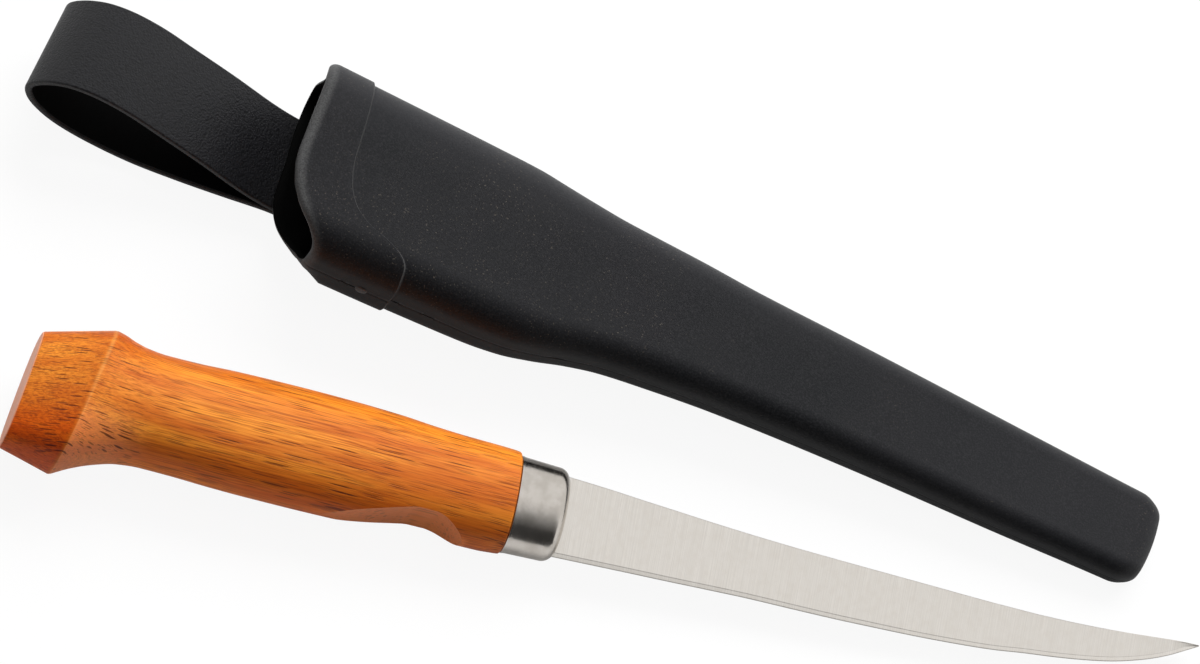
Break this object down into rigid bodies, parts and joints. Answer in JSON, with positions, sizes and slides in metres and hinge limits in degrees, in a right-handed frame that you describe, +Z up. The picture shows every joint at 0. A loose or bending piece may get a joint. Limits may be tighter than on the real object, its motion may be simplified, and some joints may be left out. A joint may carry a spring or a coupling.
{
  "type": "fillet knife",
  "caption": "Narrow upswept fillet knife with a carved hardwood handle and steel ferrule, laid beside its moulded sheath with a belt loop.",
  "frame": {"origin": "on the surface that the knife and the sheath lie on, under the middle of the pair", "axes": "+X along the sheath from belt loop to tip, the blade's tip the same way; +Y from the cutting edge towards the spine; +Z up"},
  "size_m": [0.3048, 0.1183, 0.0339],
  "materials": {
    "blade_steel": "fine satin grind across the blade",
    "ferrule_steel": "polished steel",
    "hardwood": "lacquered orange-brown hardwood with short dark pores",
    "adhesive": "cured resin",
    "sheath_plastic": "matte black moulding",
    "strap": "black strap with a fine pebble grain",
    "rivet_metal": "dark plated steel",
    "pin_metal": "black"
  },
  "bodies": {
    "sheath": {"sheath_front_shell": "sheath_plastic", "sheath_back_shell": "sheath_plastic", "belt_strap": "strap", "strap_rivets": "rivet_metal", "rivet_washers": "rivet_metal", "seam_pin": "pin_metal"},
    "knife": {"blade": "blade_steel", "ferrule": "ferrule_steel", "handle": "hardwood", "tang_adhesive": "adhesive"}
  },
  "joints": [
    {"name": "knife_lift", "type": "slide", "parent": "sheath", "child": "knife", "axis": [0, 0, 1], "range_m": [0, 0.12]}
  ]
}
